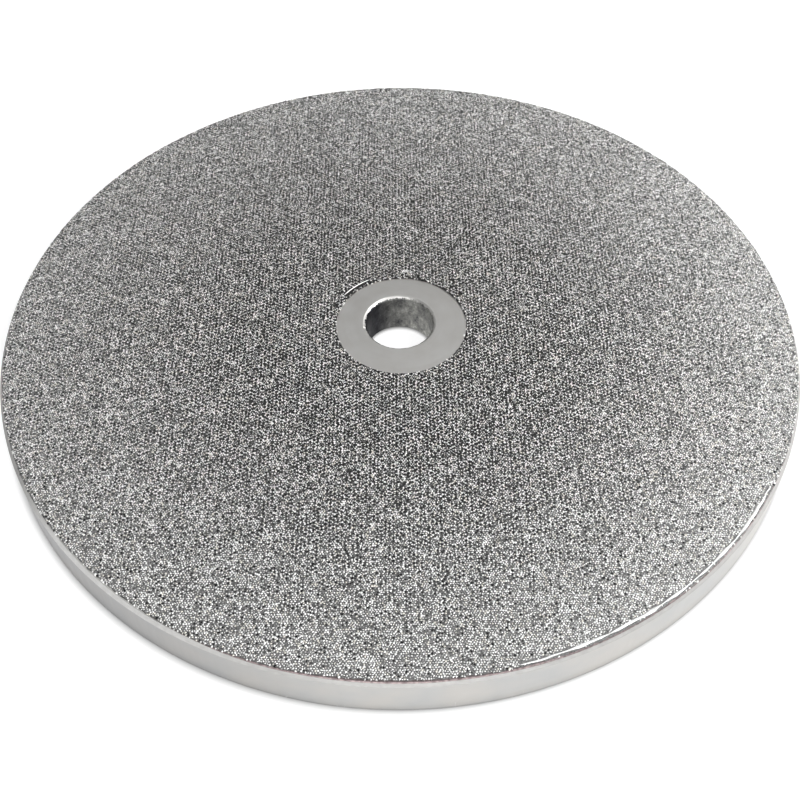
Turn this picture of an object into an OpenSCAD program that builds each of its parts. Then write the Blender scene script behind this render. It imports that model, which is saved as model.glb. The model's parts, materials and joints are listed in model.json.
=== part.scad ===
// Electroplated diamond grinding wheel: a plain aluminium disc with a spindle bore,
// plated on its top face with one layer of diamond crystals held in nickel.
// Millimetres, +Z up along the bore, origin at the centre of the back face.

/* [Wheel blank] */
// Outside diameter of the wheel
wheel_d = 150; // [100:1:250]
// Thickness of the bare aluminium disc
blank_t = 8.7; // [5:0.1:15]
// Width of the 45 degree chamfer round the top of the rim
rim_chamfer = 0.6; // [0.5:0.05:1.5]
// Width of the 45 degree chamfer round the back of the rim
back_chamfer = 0.3; // [0.1:0.05:1.5]

/* [Spindle bore] */
// Diameter of the plain bore, which slides over a half inch spindle
bore_d = 12.8; // [8:0.1:16]
// Width of the 45 degree chamfer at each end of the bore
bore_chamfer = 0.55; // [0.2:0.05:1.5]

/* [Bare ring] */
// Diameter of the bare ring round the bore, where a mask kept the plating off
mask_d = 24.8; // [22:0.1:40]
// How far the mask sat off centre along X
mask_x = 0.3; // [-0.8:0.1:0.8]
// How far the mask sat off centre along Y
mask_y = -0.8; // [-0.8:0.1:0.8]

/* [Plating] */
// Thickness of the copper strike that lets nickel stick to aluminium
strike_t = 0.05; // [0.03:0.01:0.1]
// Thickness of the nickel that grips the crystals
bond_t = 0.15; // [0.1:0.01:0.3]
// Height that the crystals stand above the nickel
grit_t = 0.1; // [0.05:0.01:0.3]
// How far the plating runs down the rim's chamfer, measured along its slope
lap = 0.2; // [0.1:0.05:0.4]

/* [Plating lip] */
// Gap between the bare ring and the short raised lip of nickel outside it
lip_gap = 1.0; // [0.5:0.1:3]
// Width of the lip
lip_w = 0.3; // [0.2:0.05:0.6]
// Angle from +X at which the lip starts
lip_start = 116; // [0:1:359]
// Angle that the lip runs through
lip_angle = 30; // [5:1:180]

/* [Hidden] */

wheel_r = wheel_d / 2;
bore_r = bore_d / 2;
mask_r = mask_d / 2;
slope_start_r = wheel_r - rim_chamfer;
nickel_from = strike_t;
nickel_to = strike_t + bond_t;
grit_to = strike_t + bond_t + grit_t;
cut_margin = 1;
round_fn = 180;

// The point over the top edge of the rim's chamfer, h above both the flat and the slope
function over_edge(h) = [slope_start_r + h * tan(22.5), blank_t + h];

// The plating's last point down the slope, h out from it
function slope_end(h) = [slope_start_r + (lap + h) * cos(45), blank_t + (h - lap) * sin(45)];

// One even coat over the top face and the start of the chamfer, between two heights above them,
// with the masked ring left out
module coat(low, high) {
    difference() {
        rotate_extrude($fn = round_fn)
            polygon([
                [bore_r, blank_t + low],
                over_edge(low),
                slope_end(low),
                slope_end(high),
                over_edge(high),
                [bore_r, blank_t + high]
            ]);
        translate([mask_x, mask_y, blank_t - cut_margin])
            cylinder(r = mask_r, h = grit_to + 2 * cut_margin, $fn = round_fn);
    }
}

// The short curved lip beside the mask, between two heights above the top face
module lip(low, high) {
    translate([mask_x, mask_y, blank_t + low])
        rotate([0, 0, lip_start])
            rotate_extrude(angle = lip_angle, $fn = round_fn)
                translate([mask_r + lip_gap, 0])
                    square([lip_w, high - low]);
}

// The turned aluminium disc, with its rim and both ends of its bore chamfered
module wheel_blank() {
    color([0.80, 0.80, 0.79])
        rotate_extrude($fn = round_fn)
            polygon([
                [bore_r + bore_chamfer, 0],
                [wheel_r - back_chamfer, 0],
                [wheel_r, back_chamfer],
                [wheel_r, blank_t - rim_chamfer],
                [slope_start_r, blank_t],
                [bore_r + bore_chamfer, blank_t],
                [bore_r, blank_t - bore_chamfer],
                [bore_r, bore_chamfer]
            ]);
}

// The first thin metal, which shows only as a brown line at the plating's edge
module copper_strike() {
    color([0.50, 0.36, 0.30]) coat(0, strike_t);
}

// The nickel that holds the crystals, with its lip standing as high as they do
module nickel_bond() {
    color([0.52, 0.52, 0.51])
        union() {
            coat(nickel_from, nickel_to);
            lip(nickel_to, grit_to);
        }
}

// The space that the single layer of crystals fills above the nickel
module diamond_grit() {
    color([0.62, 0.62, 0.60])
        difference() {
            coat(nickel_to, grit_to);
            lip(nickel_to, grit_to + cut_margin);
        }
}

wheel_blank();
copper_strike();
nickel_bond();
diamond_grit();
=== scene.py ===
import json
import math
from collections import namedtuple

import bmesh
import bpy
import numpy as np
from mathutils import Matrix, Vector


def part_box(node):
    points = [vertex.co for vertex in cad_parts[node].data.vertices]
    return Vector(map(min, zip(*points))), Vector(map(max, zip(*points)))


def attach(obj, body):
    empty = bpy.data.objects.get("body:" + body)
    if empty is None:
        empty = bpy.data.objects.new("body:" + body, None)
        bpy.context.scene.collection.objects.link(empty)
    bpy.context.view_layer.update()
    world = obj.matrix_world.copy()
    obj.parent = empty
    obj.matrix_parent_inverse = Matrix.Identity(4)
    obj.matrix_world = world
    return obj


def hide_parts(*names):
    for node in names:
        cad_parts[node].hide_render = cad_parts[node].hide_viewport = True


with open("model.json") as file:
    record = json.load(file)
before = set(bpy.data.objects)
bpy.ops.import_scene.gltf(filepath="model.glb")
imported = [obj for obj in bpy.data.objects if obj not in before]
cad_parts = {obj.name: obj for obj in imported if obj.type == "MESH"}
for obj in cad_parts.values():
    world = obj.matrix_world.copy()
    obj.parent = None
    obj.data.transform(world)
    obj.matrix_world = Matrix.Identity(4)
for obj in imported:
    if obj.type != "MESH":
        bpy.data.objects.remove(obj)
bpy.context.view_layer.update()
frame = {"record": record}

MM = 0.001

# ---------------------------------------------------------------- sizes, in metres

WHEEL_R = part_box("wheel_blank")[1].x
BLANK_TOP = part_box("wheel_blank")[1].z
STRIKE_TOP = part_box("copper_strike")[1].z
PLATING_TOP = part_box("diamond_grit")[1].z
BORE_R = frame["record"]["mounts"][0]["dims"]["r_mm"] * MM

# The nickel's box ends at the top of its lip, so the rest of its surface is found from its thickness.
BOND_T = 0.15 * MM
NICKEL_TOP = STRIKE_TOP + BOND_T
STRIKE_RISE = STRIKE_TOP - BLANK_TOP
NICKEL_RISE = NICKEL_TOP - BLANK_TOP

# The blank's edges. Every corner is eased by EASE.
RIM_CHAMFER = 0.6 * MM
BACK_CHAMFER = 0.3 * MM
BORE_CHAMFER = 0.55 * MM
EASE = 0.06 * MM
SLOPE_START = WHEEL_R - RIM_CHAMFER

# A small nick in the bore's chamfer: its direction and width in degrees
NICK_TURN, NICK_WIDTH = 192, 1.8

# The round patch that was masked while the face was plated, and the plating's gap from it
MASK_R = 12.4 * MM
MASK_CENTRE = np.array([0.3, -0.8]) * MM
MASK_GAP = 0.06 * MM

# Stretches of the plating's outer edge, each a centre and a width in degrees and a size in millimetres.
# In the short ones the plating falls short of the rim's chamfer by that size. In the copper ones the
# copper shows past the nickel by that much more than COPPER_SHOWS.
SHORT_STRETCHES = ((-92, 16, 0.30), (-129, 13, 0.26))
COPPER_SHOWS = 0.06
COPPER_STRETCHES = ((-92, 20, 0.31), (-58, 25, 0.08), (-137, 22, -0.14))

# The plating lip: a thin raised arc a little outside the mask
LIP_R = MASK_R + 1.15 * MM
LIP_WIDTH = 0.22 * MM
LIP_FROM, LIP_TO = 117, 145

# The plating's build-up bead: a low ridge just inside the rim's chamfer
BEAD_R = SLOPE_START - 0.45 * MM
BEAD_WIDTH = 0.4 * MM
BEAD_FROM, BEAD_TO = -76, -32

# Diamond crystals, made in sectors
CRYSTAL_PITCH = 0.44 * MM
CRYSTAL_SIZE = 0.52 * MM
SECTORS = 8

# Crystals keep this far from the lip's middle, which for them lies LIP_SHIFT nearer the bore. Most of
# them keep this far from the bead's middle too.
LIP_CLEAR = 0.50 * MM
LIP_SHIFT = 0.16 * MM
BEAD_CLEAR = 0.42 * MM
BEAD_CLEARED_SHARE = 0.80

# Shares of the six grades of crystal, brightest first, among clean crystals and among dark ones
CLEAN_SHARES = (0.44, 0.28, 0.15, 0.08, 0.03, 0.02)
DARK_SHARES = (0.00, 0.00, 0.03, 0.07, 0.20, 0.70)

rng = np.random.default_rng(7)


# ---------------------------------------------------------------- node helpers


def new_material(name):
    """An empty node material, with its tree and its Principled shader."""
    material = bpy.data.materials.new(name)
    material.use_nodes = True
    tree = material.node_tree
    return material, tree, tree.nodes["Principled BSDF"]


def put(tree, value, socket):
    """Links value to socket if it is a socket, and otherwise sets it."""
    if isinstance(value, bpy.types.NodeSocket):
        tree.links.new(value, socket)
    elif value is not None:
        socket.default_value = value


def maths(tree, operation, a, b=None):
    node = tree.nodes.new("ShaderNodeMath")
    node.operation = operation
    for value, socket in zip((a, b), node.inputs):
        put(tree, value, socket)
    return node.outputs[0]


def joined(tree, x, y, z):
    node = tree.nodes.new("ShaderNodeCombineXYZ")
    for value, socket in zip((x, y, z), node.inputs):
        put(tree, value, socket)
    return node.outputs[0]


def noise(tree, vector, scale, detail=3.0, rough=0.55):
    node = tree.nodes.new("ShaderNodeTexNoise")
    put(tree, vector, node.inputs["Vector"])
    node.inputs["Scale"].default_value = scale
    node.inputs["Detail"].default_value = detail
    node.inputs["Roughness"].default_value = rough
    return node.outputs["Fac"]


def ramp(tree, value, *stops):
    """A colour ramp through stops, each a position and a colour."""
    node = tree.nodes.new("ShaderNodeValToRGB")
    put(tree, value, node.inputs["Fac"])
    elements = node.color_ramp.elements
    while len(elements) < len(stops):
        elements.new(0.5)
    for element, (position, colour) in zip(elements, stops):
        element.position = position
        element.color = (*colour, 1)
    return node.outputs["Color"]


def spread(tree, value, low, high, to_low, to_high):
    """Maps value from low..high onto to_low..to_high, and holds it there."""
    node = tree.nodes.new("ShaderNodeMapRange")
    put(tree, value, node.inputs["Value"])
    numbers = {"From Min": low, "From Max": high, "To Min": to_low, "To Max": to_high}
    for name, number in numbers.items():
        node.inputs[name].default_value = number
    return node.outputs["Result"]


def mix(tree, share, first, second, way="MIX"):
    """The first colour where share is 0. Where it is 1, the second colour, laid on in the way named."""
    node = tree.nodes.new("ShaderNodeMix")
    node.data_type, node.blend_type = "RGBA", way
    sockets = {socket.identifier: socket for socket in (*node.inputs, *node.outputs)}
    put(tree, share, sockets["Factor_Float"])
    put(tree, first, sockets["A_Color"])
    put(tree, second, sockets["B_Color"])
    return sockets["Result_Color"]


def bump(tree, height, distance, strength=1.0):
    node = tree.nodes.new("ShaderNodeBump")
    put(tree, height, node.inputs["Height"])
    node.inputs["Distance"].default_value = distance
    node.inputs["Strength"].default_value = strength
    return node.outputs["Normal"]


def grey(level):
    return (level, level, level)


def multiplied(tree, first, second):
    return mix(tree, 1.0, first, second, "MULTIPLY")


def dimmed(tree, value, low, high, dim):
    """A colour to multiply by: dim where value is low or less, and white where it is high or more."""
    return ramp(tree, spread(tree, value, low, high, 0.0, 1.0), (0.0, dim), (1.0, grey(1.0)))


def weighted(tree, *parts):
    """The sum of values, each times its share."""
    total, *others = (maths(tree, "MULTIPLY", value, share) for value, share in parts)
    for other in others:
        total = maths(tree, "ADD", total, other)
    return total


Spot = namedtuple("Spot", "position along radius height")


def spot_on_wheel(tree):
    """Of the point being shaded: its position, its direction on a unit circle, and its radius and
    height in millimetres."""
    position = tree.nodes.new("ShaderNodeTexCoord").outputs["Object"]
    split = tree.nodes.new("ShaderNodeSeparateXYZ")
    tree.links.new(position, split.inputs[0])
    x, y, z = split.outputs
    squares = [maths(tree, "MULTIPLY", side, side) for side in (x, y)]
    radius = maths(tree, "SQRT", maths(tree, "ADD", *squares))
    along = [maths(tree, "DIVIDE", side, radius) for side in (x, y)]
    return Spot(position, along, maths(tree, "DIVIDE", radius, MM), maths(tree, "DIVIDE", z, MM))


def around(tree, along, turns, value, factor):
    """Noise coordinates that run round the wheel without a seam. Their third is value times factor."""
    x, y = (maths(tree, "MULTIPLY", side, turns) for side in along)
    return joined(tree, x, y, maths(tree, "MULTIPLY", value, factor))


def finish_metal(tree, shader, colour, grain, roughness, relief, depth, strength=0.6):
    """Makes the shader a metal of this colour. Its roughness follows grain, and relief gives it bumps."""
    put(tree, colour, shader.inputs["Base Color"])
    put(tree, spread(tree, grain, 0.3, 0.7, *roughness), shader.inputs["Roughness"])
    put(tree, bump(tree, relief, depth, strength), shader.inputs["Normal"])
    shader.inputs["Metallic"].default_value = 1.0


# ---------------------------------------------------------------- materials


def rim_aluminium():
    """Turned metal, darker on the left and towards its foot as painted shade: faint upright streaks,
    hair-fine lathe rings, soft stains and a few nicks near the foot."""
    material, tree, shader = new_material("rim_aluminium")
    spot = spot_on_wheel(tree)
    streaks = noise(tree, around(tree, spot.along, 70.0, spot.height, 0.06), 1.0, 4.0, 0.6)
    patches = noise(tree, around(tree, spot.along, 7.0, spot.height, 0.12), 1.0, 3.0)
    rings = noise(tree, around(tree, spot.along, 1.5, spot.height, 14.0), 1.0, 3.0, 0.7)
    nicks = noise(tree, around(tree, spot.along, 85.0, spot.height, 0.35), 1.0, 2.0)
    nicks = maths(tree, "ADD", nicks, spread(tree, spot.height, 0.0, 5.0, 0.05, -0.25))
    tone = weighted(tree, (streaks, 0.45), (patches, 0.55))
    stops = ((0.38, (0.43, 0.425, 0.415)), (0.5, (0.455, 0.45, 0.44)), (0.62, (0.475, 0.47, 0.46)))
    tint = ramp(tree, patches, (0.36, (0.97, 0.985, 1.0)), (0.64, (1.0, 0.985, 0.965)))
    tinted = multiplied(tree, ramp(tree, tone, *stops), tint)
    worn = mix(tree, spread(tree, nicks, 0.66, 0.74, 0.0, 0.8), tinted, (0.6, 0.6, 0.59, 1))
    # Painted shade: the rim's colour is dimmed towards the left.
    left = dimmed(tree, spot.along[0], -1.0, -0.1, (0.48, 0.48, 0.50))
    # Painted shade: the colour is dimmed near the foot, as a contact shadow.
    foot = dimmed(tree, spot.height, 0.3, 0.8, (0.72, 0.72, 0.73))
    colour = multiplied(tree, worn, multiplied(tree, left, foot))
    relief = weighted(tree, (streaks, 0.6), (rings, 0.4))
    finish_metal(tree, shader, colour, streaks, (0.36, 0.48), relief, 0.006 * MM, 0.7)
    return material


def cut_aluminium():
    """The rim's chamfer: fine rings and a few scuffs. A painted highlight makes it paler in a stretch on
    the left, at the front and the back alike."""
    material, tree, shader = new_material("cut_aluminium")
    spot = spot_on_wheel(tree)
    rings = noise(tree, around(tree, spot.along, 2.0, spot.height, 30.0), 1.0, 2.0)
    scuffs = noise(tree, around(tree, spot.along, 60.0, spot.height, 1.5), 1.0, 3.0)
    plain = ramp(tree, scuffs, (0.3, (0.41, 0.405, 0.395)), (0.7, (0.47, 0.465, 0.455)))
    # Painted highlight: the paler colour laid on a stretch on the left.
    pale = ramp(tree, scuffs, (0.3, (0.66, 0.655, 0.645)), (0.7, (0.75, 0.745, 0.735)))
    begins = spread(tree, spot.along[0], -0.88, -0.76, 0.0, 1.0)
    ends = spread(tree, spot.along[0], -0.7, -0.25, 1.0, 0.0)
    colour = mix(tree, maths(tree, "MULTIPLY", begins, ends), plain, pale)
    finish_metal(tree, shader, colour, rings, (0.66, 0.78), rings, 0.004 * MM)
    return material


def faced_aluminium():
    """Satin faced metal: hair-fine rings round the bore and a soft change of tone."""
    material, tree, shader = new_material("faced_aluminium")
    spot = spot_on_wheel(tree)
    rings = noise(tree, around(tree, spot.along, 0.8, spot.radius, 7.0), 1.0, 3.0, 0.6)
    patches = noise(tree, spot.position, 220.0, 3.0)
    tone = weighted(tree, (rings, 0.35), (patches, 0.65))
    colour = ramp(tree, tone, (0.35, (0.545, 0.535, 0.515)), (0.65, (0.595, 0.59, 0.575)))
    finish_metal(tree, shader, colour, rings, (0.40, 0.50), rings, 0.003 * MM)
    return material


def bore_aluminium():
    """The bore's wall: dull, with stains, smears and fine specks, and darker towards the left as painted
    shade.
    """
    material, tree, shader = new_material("bore_aluminium")
    spot = spot_on_wheel(tree)
    stains = noise(tree, around(tree, spot.along, 2.6, spot.height, 0.32), 1.0, 6.0, 0.66)
    smears = noise(tree, around(tree, spot.along, 7.5, spot.height, 0.55), 1.0, 4.0, 0.6)
    specks = noise(tree, spot.position, 3000.0, 3.0, 0.7)
    tone = weighted(tree, (stains, 0.45), (smears, 0.3), (specks, 0.25))
    stops = (
        (0.38, (0.11, 0.11, 0.12)),
        (0.47, (0.27, 0.27, 0.26)),
        (0.55, (0.42, 0.42, 0.395)),
        (0.64, (0.70, 0.70, 0.68)),
    )
    across = spread(tree, spot.along[0], -1.0, 1.0, 0.0, 1.0)
    # Painted shade: the wall's colour darkens towards the left.
    painted_left_shade = ramp(tree, across, (0.15, (0.05, 0.05, 0.065)), (0.8, (0.88, 0.88, 0.87)))
    colour = multiplied(tree, ramp(tree, tone, *stops), painted_left_shade)
    finish_metal(tree, shader, colour, tone, (0.58, 0.40), tone, 0.05 * MM, 0.9)
    return material


def copper_material():
    """Tarnished copper, brown with darker spots."""
    material, tree, shader = new_material("tarnished_copper")
    tarnish = noise(tree, spot_on_wheel(tree).position, 1400.0, 3.0)
    colour = ramp(tree, tarnish, (0.3, (0.15, 0.12, 0.123)), (0.7, (0.33, 0.272, 0.27)))
    finish_metal(tree, shader, colour, tarnish, (0.6, 0.4), tarnish, 0.02 * MM, 0.8)
    return material


def bond_nickel():
    """The nickel between the crystals: nodular, and given a dark colour as painted shade between
    the crystals, less dark towards the rim."""
    material, tree, shader = new_material("bond_nickel")
    spot = spot_on_wheel(tree)
    nodules = noise(tree, spot.position, 3500.0, 3.0, 0.6)
    # Painted shade: the nickel's colour stands in for the shade between crystals, lighter further out.
    painted_shade_inner = ramp(tree, nodules, (0.3, (0.012, 0.012, 0.012)), (0.7, (0.085, 0.085, 0.083)))
    painted_shade_outer = ramp(tree, nodules, (0.3, (0.09, 0.09, 0.09)), (0.7, (0.31, 0.31, 0.305)))
    colour = mix(tree, spread(tree, spot.radius, 30.0, 76.0, 0.0, 1.0), painted_shade_inner, painted_shade_outer)
    finish_metal(tree, shader, colour, nodules, (0.52, 0.40), nodules, 0.05 * MM, 1.0)
    return material


def bright_nickel():
    """Nickel free of crystals, on the plating's lip and bead."""
    material, tree, shader = new_material("bright_nickel")
    nodules = noise(tree, spot_on_wheel(tree).position, 2600.0, 3.0, 0.6)
    colour = ramp(tree, nodules, (0.3, grey(0.8)), (0.7, grey(0.98)))
    finish_metal(tree, shader, colour, nodules, (0.54, 0.44), nodules, 0.01 * MM)
    return material


def crystal_materials():
    """Six grades of crystal, from bright clean faces to ones darkened by nickel."""
    grades = (
        ("clean", (0.94, 0.94, 0.93), 0.40),
        ("bright", (0.80, 0.80, 0.79), 0.42),
        ("warm", (0.72, 0.70, 0.65), 0.42),
        ("grey", (0.50, 0.50, 0.49), 0.44),
        ("veiled", (0.25, 0.25, 0.25), 0.45),
        ("dark", (0.025, 0.025, 0.026), 0.48),
    )
    materials = []
    for name, colour, roughness in grades:
        material, tree, shader = new_material("crystal_" + name)
        shader.inputs["Base Color"].default_value = (*colour, 1)
        shader.inputs["Metallic"].default_value = 1.0
        shader.inputs["Roughness"].default_value = roughness
        materials.append(material)
    return materials


def floor_material():
    """A white table that glows a little. Right round the wheel's foot it glows less, as a painted shadow,
    and under the bore it glows a little more, as painted light."""
    material, tree, shader = new_material("white_table")
    radius = spot_on_wheel(tree).radius
    foot, bore = (WHEEL_R - BACK_CHAMFER) / MM, BORE_R / MM
    # Painted shadow: the table glows less towards the wheel's foot.
    away = spread(tree, radius, foot, foot + 1.5, 0.0, 1.0)
    glow_with_painted_shadow = ramp(tree, away, (0.0, grey(0.0)), (0.4, grey(0.5)), (1.0, grey(1.0)))
    # Painted light: the table glows brighter under the bore, where shade would fall.
    painted_light_under_bore = spread(tree, radius, bore - 0.5, bore + 0.5, 1.0, 0.0)
    put(tree, mix(tree, painted_light_under_bore, glow_with_painted_shadow, (*grey(1.0), 1)), shader.inputs["Emission Color"])
    put(tree, spread(tree, painted_light_under_bore, 0.0, 1.0, 0.72, 0.85), shader.inputs["Emission Strength"])
    shader.inputs["Base Color"].default_value = (*grey(0.42), 1)
    shader.inputs["Roughness"].default_value = 0.8
    return material


# ---------------------------------------------------------------- mesh helpers


def place(mesh, name, materials, slot, *replaced):
    """Makes a piece from a mesh: it rides on the only body and stands for the CAD nodes named."""
    piece = bpy.data.objects.new(name, mesh)
    bpy.context.scene.collection.objects.link(piece)
    for material in materials:
        mesh.materials.append(material)
    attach(piece, "root")
    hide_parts(*replaced)
    return piece


def mesh_of_triangles(name, points, triangles, material_ids):
    mesh = bpy.data.meshes.new(name)
    mesh.vertices.add(len(points))
    mesh.vertices.foreach_set("co", points.astype(np.float32).ravel())
    mesh.loops.add(triangles.size)
    mesh.loops.foreach_set("vertex_index", triangles.astype(np.int32).ravel())
    mesh.polygons.add(len(triangles))
    mesh.polygons.foreach_set("loop_start", np.arange(0, triangles.size, 3, dtype=np.int32))
    mesh.polygons.foreach_set("material_index", material_ids.astype(np.int32))
    mesh.update(calc_edges=True)
    return mesh


def mesh_of_loops(name, loops, closed=True, material_ids=None):
    """A surface through loops of points. Either the last loop joins the first, or both ends are
    capped. material_ids gives each band between two loops its material."""
    count = loops.shape[1]
    here = np.arange(count)
    after = (here + 1) % count
    bands = []
    for band in range(len(loops) if closed else len(loops) - 1):
        low, high = band * count, (band + 1) % len(loops) * count
        bands.append(np.stack([low + here, low + after, high + after, high + here], axis=1))
    faces = np.concatenate(bands).tolist()
    if not closed:
        faces.append(here[::-1].tolist())
        faces.append((here + (len(loops) - 1) * count).tolist())
    mesh = bpy.data.meshes.new(name)
    mesh.from_pydata(loops.reshape(-1, 3).tolist(), [], faces)
    if material_ids is not None:
        mesh.polygons.foreach_set("material_index", np.repeat(material_ids, count).astype(np.int32))
    mesh.update()
    return mesh


def shade_smooth(piece, angle=30):
    mesh = piece.data
    mesh.polygons.foreach_set("use_smooth", np.ones(len(mesh.polygons), dtype=bool))
    mesh.set_sharp_from_angle(angle=math.radians(angle))


def directions(count):
    return np.linspace(0, 2 * math.pi, count, endpoint=False)


def hump(angles, centre, width):
    """1 in the direction centre and smoothly 0 away from it. centre and width are in degrees."""
    off = (np.degrees(angles) - centre + 180) % 360 - 180
    return np.exp(-((off / width) ** 2))


def humps(angles, stretches):
    """The sum of humps, each given as its centre, its width and its size."""
    return sum(size * hump(angles, centre, width) for centre, width, size in stretches)


def wander(angles, size, slowest, quickest):
    """A smooth wandering value round the circle, about size either way."""
    total = np.zeros_like(angles)
    for waves in range(slowest, quickest + 1):
        total += rng.normal() * np.sin(waves * angles + rng.uniform(0, 2 * math.pi))
    return size * total / math.sqrt((quickest - slowest + 1) / 2)


# ---------------------------------------------------------------- the blank


def eased(profile):
    """Rounds each corner of an open profile of (radius, height, material), apart from its ends.
    The outer two of the five points that stand for a corner keep the faces beside it flat."""
    out = [profile[0]]
    for before, (r, z, band), after in zip(profile, profile[1:], profile[2:]):
        corner = np.array([r, z])
        back, onward = np.array(before[:2]) - corner, np.array(after[:2]) - corner
        back *= EASE / np.linalg.norm(back)
        onward *= EASE / np.linalg.norm(onward)
        offsets = (2.5 * back, back, 0.3 * (back + onward), onward, 2.5 * onward)
        bands = (before[2], before[2], band, band, band)
        out += [(*(corner + offset), material) for offset, material in zip(offsets, bands)]
    return out + [profile[-1]]


def make_blank():
    """The turned blank, a lathe form whose bore has a ragged, stained chamfer and one nick."""
    rim, cut, faced, bore = range(4)
    outer = BORE_R + BORE_CHAMFER
    profile = eased([
        (outer, 0, faced),
        (WHEEL_R - BACK_CHAMFER, 0, rim),
        (WHEEL_R, BACK_CHAMFER, rim),
        (WHEEL_R, BLANK_TOP - RIM_CHAMFER, cut),
        (SLOPE_START, BLANK_TOP, faced),
        (outer + 0.2 * MM, BLANK_TOP, faced),
    ])
    lip = len(profile)
    profile += [(outer + EASE, BLANK_TOP, faced), (outer, BLANK_TOP - 0.3 * EASE, faced)]
    stain = len(profile)
    profile.append((BORE_R + 0.4 * BORE_CHAMFER, BLANK_TOP - 0.6 * BORE_CHAMFER, bore))
    wall = len(profile)
    rows = 26
    depths = np.linspace(BLANK_TOP - BORE_CHAMFER, BORE_CHAMFER, rows)
    profile += [(BORE_R, z, bore) for z in depths]
    profile[-1] = (BORE_R, BORE_CHAMFER, faced)

    angles = directions(1440)
    radii = np.array([r for r, z, _ in profile])[:, None] * np.ones_like(angles)
    heights = np.array([z for r, z, _ in profile])[:, None] * np.ones_like(angles)
    ragged = wander(angles, 0.045 * MM, 9, 26) + wander(angles, 0.04 * MM, 30, 110)
    nick = hump(angles, NICK_TURN, NICK_WIDTH)
    radii[wall] += 0.5 * np.maximum(ragged, 0)
    heights[wall] += 0.8 * ragged - 0.25 * MM * nick
    radii[stain] += ragged
    heights[stain] += ragged - 0.2 * MM * nick
    for row in (lip, lip + 1):
        radii[row] += wander(angles, 0.014 * MM, 6, 60) + 0.2 * MM * nick
    for row in range(wall + 1, wall + rows - 1):
        radii[row] += wander(angles, 0.006 * MM, 5, 50)
    x, y = radii * np.cos(angles), radii * np.sin(angles)
    bands = [band for _, _, band in profile]
    mesh = mesh_of_loops("wheel_blank_turned", np.stack([x, y, heights], axis=2), True, bands)
    materials = [rim_aluminium(), cut_aluminium(), faced_aluminium(), bore_aluminium()]
    piece = place(mesh, "wheel_blank_turned", materials, "turned_aluminium", "wheel_blank")
    shade_smooth(piece)


# ---------------------------------------------------------------- the plating


def plating_edge(angles):
    """Radius where the plating ends: at the rim's chamfer, and in two stretches short of it."""
    slow = 0.03 * np.sin(3 * angles + 0.6) + 0.02 * np.sin(7 * angles + 2.0) + 0.015 * np.sin(19 * angles)
    return SLOPE_START + (0.02 + slow - humps(angles, SHORT_STRETCHES)) * MM


def surface_height(radius, above):
    """Height of a coat's surface, above the blank's own, with its fall over the rim's chamfer."""
    edge = SLOPE_START + above * math.tan(math.pi / 8)
    return BLANK_TOP + above - np.maximum(0, radius - edge)


def coat_loops(angles, steps, low, high, beyond, ragged, rough):
    """Loops round a plated layer: its underside from the mask out, then its top back in. low and high
    are its heights above the blank, and beyond is how far it reaches past the plating's edge. Its edges
    are ragged by about so much, and its top is rough by about so much. steps counts the loops on its
    flat part."""
    inner = MASK_R + MASK_GAP + rng.normal(0, ragged, len(angles))
    outer = plating_edge(angles) + beyond + rng.normal(0, ragged, len(angles))
    field = SLOPE_START - 0.3 * MM
    shares = np.concatenate([np.linspace(0, 1, steps), np.linspace(1, 2, 8)[1:]])
    out = []
    for share in shares:
        near = min(share, 1)
        centre = MASK_CENTRE * (1 - near)
        r = inner * (1 - near) + field * near
        r = r + (outer - field) * max(share - 1, 0)
        x, y = centre[0] + r * np.cos(angles), centre[1] + r * np.sin(angles)
        z = surface_height(np.hypot(x, y), high) + rng.normal(0, rough, len(angles)) * (0 < share < 2)
        out.append(np.stack([x, y, z], axis=1))
    for top in (out[-1], out[0]):
        x, y = top[:, 0], top[:, 1]
        out.append(np.stack([x, y, surface_height(np.hypot(x, y), low)], axis=1))
    return np.array(out)[::-1]


def make_strike():
    """The copper strike. It shows as a thin brown line past the nickel, mostly at the front."""
    angles = directions(1440)
    shows = COPPER_SHOWS + humps(angles, COPPER_STRETCHES)
    loops = coat_loops(angles, 4, 0, STRIKE_RISE, shows * MM, 0.008 * MM, 0)
    mesh = mesh_of_loops("copper_strike_edge", loops)
    piece = place(mesh, "copper_strike_edge", [copper_material()], "copper_strike", "copper_strike")
    shade_smooth(piece)


def make_nickel():
    angles = directions(1200)
    loops = coat_loops(angles, 90, STRIKE_RISE, NICKEL_RISE, 0, 0.05 * MM, 0.012 * MM)
    mesh = mesh_of_loops("nickel_bond_plated", loops)
    piece = place(mesh, "nickel_bond_plated", [bond_nickel()], "plated_nickel", "nickel_bond")
    shade_smooth(piece)


def make_ridge(name, material, centre, radius, arc, section, width, height, ragged):
    """A low ridge of nickel along an arc, thin at both ends and uneven between. Its section is points
    outwards over it, as shares of half its width and of its height."""
    start, stop = arc
    step, lump_spacing, root = 0.12 * MM, 1.6 * MM, -0.05 * MM
    length = math.radians(stop - start) * radius
    share = np.linspace(0, 1, int(length / step))
    knots = np.linspace(0, 1, int(length / lump_spacing))
    lumps = [np.interp(share, knots, rng.normal(0, ragged, len(knots))) for _ in range(3)]
    angles = np.radians(start + (stop - start) * share)
    taper = np.sqrt(np.clip(np.minimum(share, 1 - share) * 9, 0.02, 1))
    half = 0.5 * width * taper * np.clip(1 + lumps[0], 0.4, 1.6)
    rise = height * taper * np.clip(1 + lumps[1], 0.3, 1.5)
    middle = radius + 0.25 * width * lumps[2]
    across, up = np.array(section).T
    loops = []
    for r, h, w, a in zip(middle, rise, half, angles):
        radii = np.append(r + w * across, [r + w, r - w])
        x, y = centre[0] + radii * math.cos(a), centre[1] + radii * math.sin(a)
        top = surface_height(np.hypot(x, y), NICKEL_RISE)
        lift = np.append(h * up, [root, root])
        loops.append(np.stack([x, y, top + lift], axis=1))
    mesh = mesh_of_loops(name, np.array(loops), False)
    piece = place(mesh, name, [material], "plated_nickel", "nickel_bond")
    shade_smooth(piece, 60)


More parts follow.
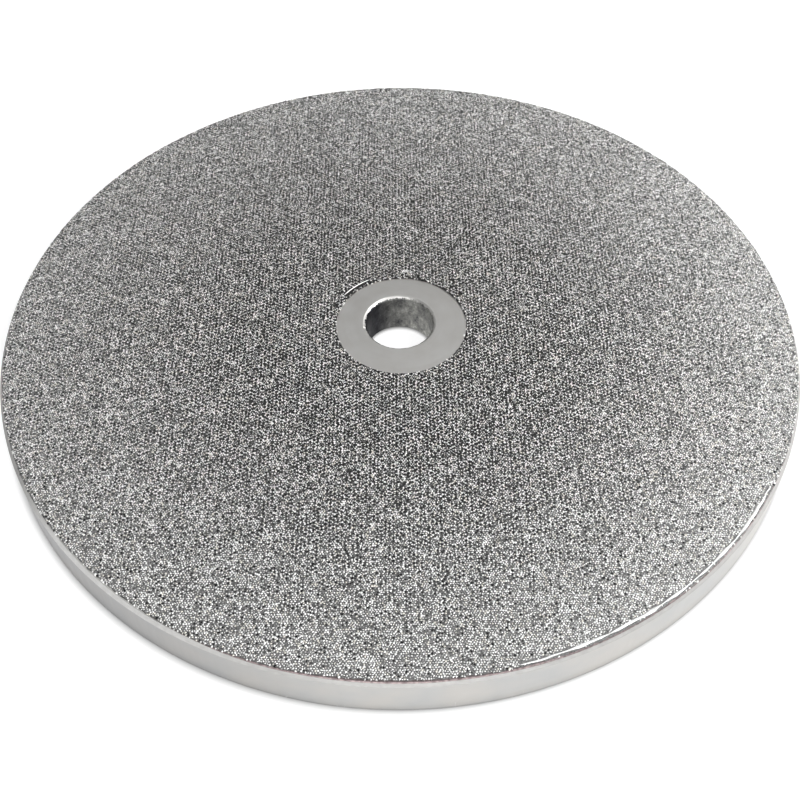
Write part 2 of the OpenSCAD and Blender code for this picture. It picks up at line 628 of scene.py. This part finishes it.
def make_ridges():
    """The plating's lip and its bead. The lip falls more steeply on its outer side."""
    bright = bright_nickel()
    rise = PLATING_TOP - NICKEL_TOP
    crest = ((-1.0, 0.0), (-0.9, 0.1), (0.2, 0.95), (0.35, 1.0), (0.5, 0.95), (1.0, 0.0))
    dome = [(-math.cos(turn), math.sin(turn)) for turn in np.linspace(0, math.pi, 11)]
    lip_arc, bead_arc = (LIP_FROM, LIP_TO), (BEAD_FROM, BEAD_TO)
    make_ridge("nickel_lip", bright, MASK_CENTRE, LIP_R, lip_arc, crest, LIP_WIDTH, 1.2 * rise, 0.16)
    make_ridge("nickel_edge_bead", bright, (0, 0), BEAD_R, bead_arc, dome, BEAD_WIDTH, 1.9 * rise, 0.45)


# ---------------------------------------------------------------- the diamonds


def hull_of(points):
    """Unit-size points with the triangles of their convex hull, facing out."""
    points = points / np.linalg.norm(points, axis=1).max()
    form = bmesh.new()
    for point in points:
        form.verts.new(point)
    form.verts.index_update()
    bmesh.ops.convex_hull(form, input=form.verts)
    bmesh.ops.triangulate(form, faces=form.faces)
    bmesh.ops.recalc_face_normals(form, faces=form.faces)
    triangles = np.array([[v.index for v in face.verts] for face in form.faces])
    form.free()
    return points, triangles


def crystal_shapes():
    """Corner points and triangles of three habits: cube, octahedron and a wedge-shaped shard."""
    cube = np.array([[x, y, z] for x in (-1, 1) for y in (-1, 1) for z in (-1, 1)], float)
    octahedron = np.concatenate([np.eye(3), -np.eye(3)])
    wedge = np.array([[x, y, z] for z in (-0.75, 0.75) for x, y in ((1, 0), (-0.5, 0.87), (-0.5, -0.87))])
    return [hull_of(points) for points in (cube, octahedron, wedge)]


def even_points(pitch):
    """Points over the whole face, at random but evenly apart, like sprinkled grains. With them comes
    a mark on one point in three, so chosen that no two marked points are neighbours."""
    row = pitch * math.sqrt(0.75)
    half = int(WHEEL_R / row) + 3
    j, i = np.meshgrid(np.arange(-half, half + 1), np.arange(-half, half + 1), indexing="ij")
    points = np.stack([(i + 0.5 * (j % 2)) * pitch, j * row], axis=2)
    points += rng.normal(0, 0.22 * pitch, points.shape)
    for _ in range(4):
        push = np.zeros_like(points)
        for dj in (-2, -1, 0, 1, 2):
            for di in (-2, -1, 0, 1, 2):
                if (dj, di) == (0, 0):
                    continue
                away = points - np.roll(points, (dj, di), axis=(0, 1))
                gap = np.maximum(np.linalg.norm(away, axis=2, keepdims=True), 1e-9)
                near = np.clip(0.95 * pitch - gap, 0, pitch) * (gap < pitch)
                push += away / gap * near
        points += 0.35 * push
    apart = (i - j // 2 - j) % 3 == 0
    return points.reshape(-1, 2), apart.reshape(-1)


def crystal_places():
    """Where crystals sit: on the plating, but not by its lip and only thinly by its bead."""
    points, apart = even_points(CRYSTAL_PITCH)
    radius = np.hypot(points[:, 0], points[:, 1])
    angle = np.arctan2(points[:, 1], points[:, 0])
    from_mask = points - MASK_CENTRE
    mask_r = np.hypot(from_mask[:, 0], from_mask[:, 1])
    mask_turn = np.degrees(np.arctan2(from_mask[:, 1], from_mask[:, 0]))
    chance = rng.random(len(points))
    by_lip = abs(mask_r - LIP_R + LIP_SHIFT) < LIP_CLEAR
    by_lip &= (mask_turn > LIP_FROM) & (mask_turn < LIP_TO)
    turn = np.degrees(angle)
    by_bead = (abs(radius - BEAD_R) < BEAD_CLEAR) & (turn > BEAD_FROM) & (turn < BEAD_TO)
    ragged = rng.normal(0.09, 0.05, len(points)) * MM
    keep = (mask_r > MASK_R + ragged) & (radius < plating_edge(angle) - 0.03 * MM)
    keep &= ~by_lip & ~(by_bead & (chance < BEAD_CLEARED_SHARE))
    return points[keep], apart[keep]


def turns_at_random(count):
    """Rotation matrices, evenly spread over all turns."""
    q = rng.normal(size=(count, 4))
    w, x, y, z = (q / np.linalg.norm(q, axis=1, keepdims=True)).T
    rows = [
        [1 - 2 * (y * y + z * z), 2 * (x * y - w * z), 2 * (x * z + w * y)],
        [2 * (x * y + w * z), 1 - 2 * (x * x + z * z), 2 * (y * z - w * x)],
        [2 * (x * z - w * y), 2 * (y * z + w * x), 1 - 2 * (x * x + y * y)],
    ]
    return np.moveaxis(np.array(rows), 2, 0)


def set_crystals(centres, corners):
    """The corner points of one crystal at each centre, stretched, chipped, turned and sunk in nickel
    to a little past its middle."""
    count = len(centres)
    half = CRYSTAL_SIZE / 2 * np.clip(rng.normal(1.0, 0.12, count), 0.7, 1.35)
    stretched = corners[None] * rng.uniform(0.78, 1.22, (count, 1, 3))
    chipped = stretched + rng.normal(0, 0.06, (count, len(corners), 3))
    points = np.einsum("nij,nkj->nki", turns_at_random(count), chipped) * half[:, None, None]
    nickel = surface_height(np.hypot(centres[:, 0], centres[:, 1]), NICKEL_RISE)
    height = nickel - 0.4 * half + rng.normal(0, 0.015 * MM, count)
    points[:, :, :2] += centres[:, None, :]
    points[:, :, 2] += height[:, None]
    return points


def make_grit():
    """The crystals, sector by sector. Of the points marked as apart from each other, more are dark near
    the middle and on the left, and fewer at the front, as painted shade."""
    places, apart = crystal_places()
    shapes = crystal_shapes()
    materials = crystal_materials()
    out = np.hypot(places[:, 0], places[:, 1]) / WHEEL_R
    left, front = np.clip(-places.T / WHEEL_R, 0, 1)
    # Painted shade: fewer clean crystals towards the middle and the left, more at the front.
    painted_clean_share = out**2 * (0.68 - 0.30 * left + 0.20 * front)
    dark = apart & (rng.random(len(places)) > painted_clean_share)
    clean_grades = rng.choice(len(materials), len(places), p=CLEAN_SHARES)
    dark_grades = rng.choice(len(materials), len(places), p=DARK_SHARES)
    grade_of = np.where(dark, dark_grades, clean_grades)
    turn = np.arctan2(places[:, 1], places[:, 0]) / (2 * math.pi) % 1
    sector = (turn * SECTORS).astype(int) % SECTORS
    for number in range(SECTORS):
        here, grade_here = places[sector == number], grade_of[sector == number]
        habit = rng.choice(len(shapes), len(here), p=(0.25, 0.40, 0.35))
        points, triangles, grades, first = [], [], [], 0
        for which, (corners, faces) in enumerate(shapes):
            centres = here[habit == which]
            points.append(set_crystals(centres, corners).reshape(-1, 3))
            starts = first + np.arange(len(centres)) * len(corners)
            triangles.append((faces[None] + starts[:, None, None]).reshape(-1, 3))
            grades.append(np.repeat(grade_here[habit == which], len(faces)))
            first += len(centres) * len(corners)
        name = f"diamond_grit_{number + 1:02d}"
        mesh = mesh_of_triangles(name, *(np.concatenate(part) for part in (points, triangles, grades)))
        place(mesh, name, materials, "diamond_grit", "diamond_grit")


# ---------------------------------------------------------------- floor, camera, light


def make_floor():
    half, gap = 3.0, 0.02 * MM
    corners = [(-half, -half, 0), (half, -half, 0), (half, half, 0), (-half, half, 0)]
    mesh = bpy.data.meshes.new("white_table")
    mesh.from_pydata(corners, [], [(0, 1, 2, 3)])
    mesh.materials.append(floor_material())
    floor = bpy.data.objects.new("white_table", mesh)
    bpy.context.scene.collection.objects.link(floor)
    floor.location.z = -gap


def make_camera():
    """The photograph's camera: it looks at the bore's mouth from the front and above, and is turned a
    little from there so that the wheel lies in the picture as it does in the photograph."""
    distance, elevation = 2.9218 * WHEEL_R, math.radians(46.626)
    tilt, pan, roll = math.radians(-3.980), math.radians(0.013), math.radians(-0.478)
    data = bpy.data.cameras.new("photo_camera")
    data.lens, data.sensor_width = 51.39, 36.0
    data.clip_start = 0.01
    camera = bpy.data.objects.new("photo_camera", data)
    bpy.context.scene.collection.objects.link(camera)
    back, up = distance * math.cos(elevation), distance * math.sin(elevation)
    aim = Matrix.Rotation(math.pi / 2 - elevation, 4, "X") @ Matrix.Rotation(pan, 4, "Y")
    aim = aim @ Matrix.Rotation(tilt, 4, "X") @ Matrix.Rotation(roll, 4, "Z")
    camera.matrix_world = Matrix.Translation((0, -back, PLATING_TOP + up)) @ aim
    bpy.context.scene.camera = camera


def make_world():
    """A pale room: brightest at the horizon, darker higher up, and a little dimmer on the left."""
    world = bpy.data.worlds.new("studio")
    bpy.context.scene.world = world
    world.use_nodes = True
    tree = world.node_tree
    direction = tree.nodes.new("ShaderNodeTexCoord").outputs["Generated"]
    split = tree.nodes.new("ShaderNodeSeparateXYZ")
    tree.links.new(direction, split.inputs[0])
    levels = ((0.0, 0.9), (0.12, 0.75), (0.28, 0.42), (0.62, 0.24), (0.9, 0.12))
    shade = ramp(tree, split.outputs["Z"], *((height, grey(level)) for height, level in levels))
    left = dimmed(tree, split.outputs["X"], -1.0, 0.0, (0.68, 0.68, 0.69))
    put(tree, multiplied(tree, shade, left), tree.nodes["Background"].inputs["Color"])


def softbox(name, azimuth, elevation, distance, size, power):
    """A square lamp that faces the wheel. Its azimuth is counted from the right, towards the back."""
    data = bpy.data.lights.new(name, "AREA")
    data.shape, data.size = "SQUARE", size
    data.energy = power
    light = bpy.data.objects.new(name, data)
    bpy.context.scene.collection.objects.link(light)
    turn, rise = math.radians(azimuth), math.radians(elevation)
    level = distance * math.cos(rise)
    light.location = (level * math.cos(turn), level * math.sin(turn), distance * math.sin(rise))
    light.rotation_euler = (-light.location).to_track_quat("-Z", "Y").to_euler()
    light.visible_camera = False


def make_light():
    make_world()
    softbox("softbox_front", 270, 32, 0.3, 0.25, 0.72)
    softbox("softbox_left", 192, 10, 0.5, 0.3, 0.12)
    softbox("softbox_low_right", 0, 20, 0.5, 0.25, 0.75)
    softbox("softbox_high_right", 0, 50, 0.6, 0.35, 2.2)
    softbox("softbox_back_right", 45, 30, 0.26, 0.15, 0.06)
    softbox("softbox_high_back_right", 45, 50, 0.6, 0.35, 0.45)
    softbox("softbox_high_back_left", 135, 50, 0.6, 0.35, 0.5)
    softbox("softbox_top", 90, 88, 0.7, 0.4, 0.3)


def main():
    bpy.context.scene.view_settings.view_transform = "Standard"
    make_camera()
    make_blank()
    make_strike()
    make_nickel()
    make_ridges()
    make_grit()
    make_floor()
    make_light()


main()
